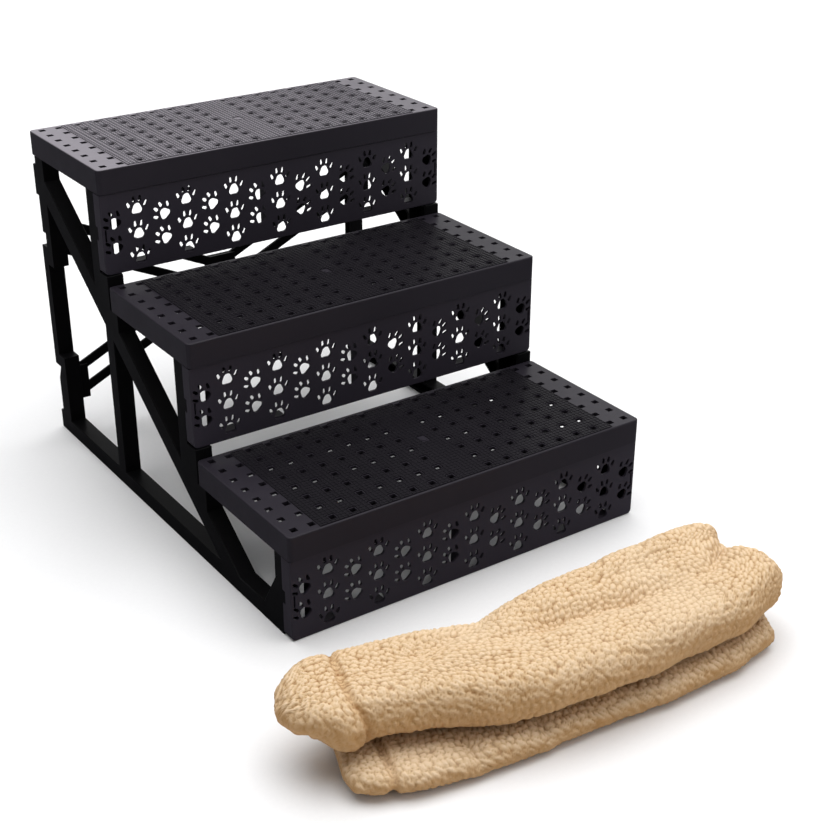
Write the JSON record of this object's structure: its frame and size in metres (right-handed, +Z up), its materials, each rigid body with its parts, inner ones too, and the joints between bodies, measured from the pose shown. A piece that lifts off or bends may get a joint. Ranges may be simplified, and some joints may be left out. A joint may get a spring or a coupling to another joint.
{
  "type": "three-step pet stair",
  "caption": "Low stepped stair for small pets: pierced plastic treads and paw-patterned risers clipped to open side frames, with its soft cover folded in front.",
  "frame": {"origin": "middle of the front riser's foot, on the floor", "axes": "+Y from the front step to the rear, +Z up, +X to the right when climbing"},
  "size_m": [0.4335, 0.6774, 0.3],
  "materials": {
    "tread_plastic": "satin charcoal, fine square dimples",
    "riser_plastic": "satin charcoal",
    "frame_plastic": "matt black",
    "sherpa_fleece": "curly pile"
  },
  "bodies": {
    "stair": {"left_base_rail": "frame_plastic", "left_front_post": "frame_plastic", "left_middle_post": "frame_plastic", "left_tall_post": "frame_plastic", "left_rear_post": "frame_plastic", "left_front_stringer": "frame_plastic", "left_middle_stringer": "frame_plastic", "left_rear_stringer": "frame_plastic", "right_base_rail": "frame_plastic", "right_front_post": "frame_plastic", "right_middle_post": "frame_plastic", "right_tall_post": "frame_plastic", "right_rear_post": "frame_plastic", "right_front_stringer": "frame_plastic", "right_middle_stringer": "frame_plastic", "right_rear_stringer": "frame_plastic", "falling_brace": "frame_plastic", "rising_brace": "frame_plastic", "riser_bottom": "riser_plastic", "riser_middle": "riser_plastic", "riser_top": "riser_plastic"},
    "bottom_tread": {"tread_bottom": "tread_plastic"},
    "middle_tread": {"tread_middle": "tread_plastic"},
    "top_tread": {"tread_top": "tread_plastic"},
    "cover": {"folded_cover": "sherpa_fleece"}
  },
  "joints": [
    {"name": "bottom_tread_lift", "type": "slide", "parent": "stair", "child": "bottom_tread", "axis": [0, 0, 1], "range_m": [0, 0.04]},
    {"name": "middle_tread_lift", "type": "slide", "parent": "stair", "child": "middle_tread", "axis": [0, 0, 1], "range_m": [0, 0.04]},
    {"name": "top_tread_lift", "type": "slide", "parent": "stair", "child": "top_tread", "axis": [0, 0, 1], "range_m": [0, 0.04]},
    {"name": "cover_lift", "type": "slide", "parent": "stair", "child": "cover", "axis": [0, 0, 1], "range_m": [0, 0.15]}
  ]
}
